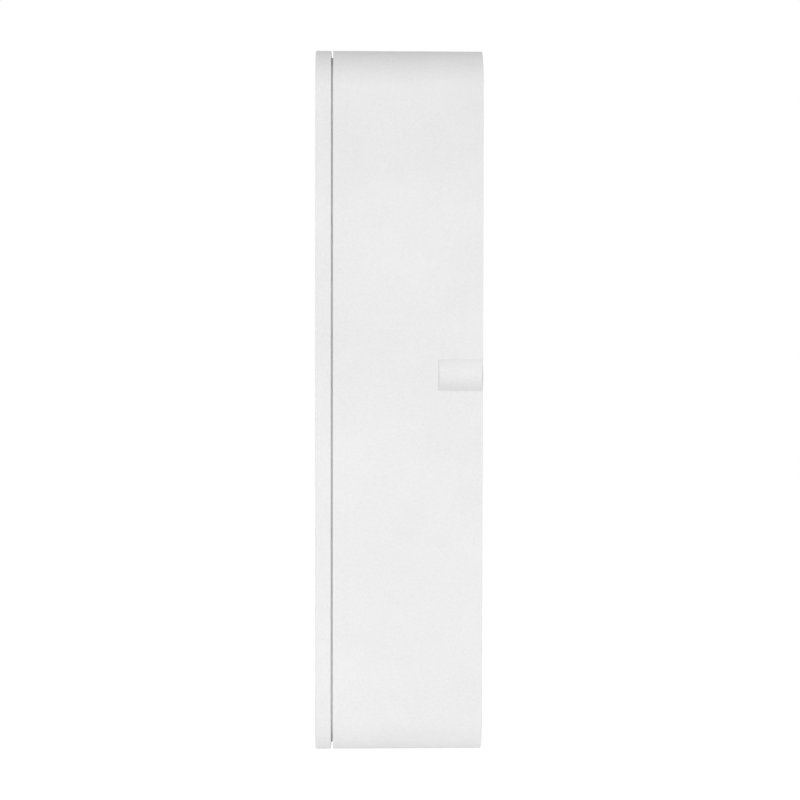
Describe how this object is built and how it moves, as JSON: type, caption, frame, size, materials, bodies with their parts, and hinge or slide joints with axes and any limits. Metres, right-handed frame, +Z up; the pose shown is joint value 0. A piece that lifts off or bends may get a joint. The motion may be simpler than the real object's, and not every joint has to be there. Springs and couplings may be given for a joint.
{
  "type": "video doorbell",
  "caption": "Slim white battery video doorbell with a dark camera window, a round lit call button and finger scoops, pulled straight off a flush wall plate.",
  "frame": {"origin": "middle of the wall plate on the wall plane", "axes": "+X to the right seen from the front, +Y into the wall, +Z up"},
  "size_m": [0.046, 0.0333, 0.14],
  "materials": {
    "white_shell": "finely spark-eroded matt white",
    "grey_abs": "matt moulded grey",
    "spring_steel": "rolled strip",
    "silicone": "matt moulded silicone",
    "silicone_clear": "translucent silicone",
    "smoked_window": "polished dark smoked polycarbonate",
    "clear_glass": "coated clear glass",
    "black_plastic": "matt black moulded",
    "coated_lens": "polished, anti-reflection coated",
    "filter_glass": "polished filter glass",
    "chip": "moulded chip package",
    "circuit_board": "green solder mask",
    "copper": "enamelled copper winding",
    "polyimide": "amber polyimide film",
    "led": "clear resin over a white package",
    "milky_lens": "milky polyethylene",
    "gold_plate": "gold plated lid",
    "white_button": "satin white",
    "light_guide": "frosted light guide",
    "steel": "plated steel",
    "cell_wrap": "shrink-wrapped cell",
    "wire_red": "insulated lead",
    "acoustic_mesh": "woven acoustic mesh",
    "cone_film": "thin polymer film",
    "flap_rubber": "matt white elastomer",
    "brass": "turned brass"
  },
  "bodies": {
    "wall_mount": {"wall_plate": "grey_abs", "latch_springs": "spring_steel"},
    "doorbell": {"rear_housing": "white_shell", "front_fascia": "white_shell", "main_gasket": "silicone", "chassis": "grey_abs", "camera_window": "smoked_window", "lens_cover": "clear_glass", "camera_shroud": "black_plastic", "lens_barrel": "black_plastic", "lens_front_element": "coated_lens", "lens_inner_elements": "coated_lens", "lens_holder": "black_plastic", "image_sensor": "chip", "camera_board": "circuit_board", "filter_coil": "copper", "camera_flex": "polyimide", "ir_board": "circuit_board", "ir_leds": "led", "light_sensor": "chip", "pir_lens": "milky_lens", "pir_sensor": "chip", "mic_boot": "silicone", "microphone": "gold_plate", "light_ring": "light_guide", "button_membrane": "silicone_clear", "button_switch": "black_plastic", "ring_leds": "led", "main_board": "circuit_board", "shield_can": "steel", "board_connectors": "white_button", "battery_cells": "cell_wrap", "battery_cradle": "grey_abs", "battery_strips": "steel", "protection_board": "circuit_board", "battery_leads": "wire_red", "speaker_mesh": "acoustic_mesh", "speaker_frame": "black_plastic", "speaker_magnet": "steel", "speaker_surround": "silicone", "speaker_box": "black_plastic", "speaker_leads": "wire_red", "power_board": "circuit_board", "usb_socket": "steel", "reset_switch": "black_plastic", "tamper_switch": "black_plastic", "terminal_inserts": "brass", "terminal_screws": "brass", "wifi_antenna": "polyimide", "housing_screws": "steel", "fascia_screws": "steel", "board_screws": "steel"},
    "button": {"call_button": "white_button", "switch_plunger": "white_button"},
    "port_flap": {"usb_flap": "flap_rubber"},
    "reset_key": {"reset_button": "white_button"},
    "tamper_pin": {"tamper_plunger": "white_button"},
    "ir_filter": {"ir_filter_frame": "black_plastic", "ir_filter_glass": "filter_glass"},
    "diaphragm": {"speaker_cone": "cone_film"}
  },
  "joints": [
    {"name": "unit_pull_off", "type": "slide", "parent": "wall_mount", "child": "doorbell", "axis": [0, -1, 0], "range_m": [0, 0.02], "deforming": ["latch_springs"]},
    {"name": "call_button_press", "type": "slide", "parent": "doorbell", "child": "button", "axis": [0, 1, 0], "range_m": [0, 0.0005], "stiffness_N_per_m": 3000, "deforming": ["button_membrane"]},
    {"name": "port_flap_open", "type": "hinge", "parent": "doorbell", "child": "port_flap", "pos_m": [-0.002, -0.0117, -0.0694], "axis": [1, 0, 0], "range_deg": [0, 100]},
    {"name": "reset_press", "type": "slide", "parent": "doorbell", "child": "reset_key", "axis": [0, 0, 1], "range_m": [0, 0.0003], "stiffness_N_per_m": 2500},
    {"name": "tamper_press", "type": "slide", "parent": "doorbell", "child": "tamper_pin", "axis": [0, -1, 0], "range_m": [0, 0.0004], "stiffness_N_per_m": 800},
    {"name": "ir_filter_shift", "type": "slide", "parent": "doorbell", "child": "ir_filter", "axis": [-1, 0, 0], "range_m": [0, 0.005]},
    {"name": "speaker_stroke", "type": "slide", "parent": "doorbell", "child": "diaphragm", "axis": [0, -1, 0], "range_m": [-0.0003, 0.0003], "stiffness_N_per_m": 1500, "deforming": ["speaker_surround"]}
  ]
}
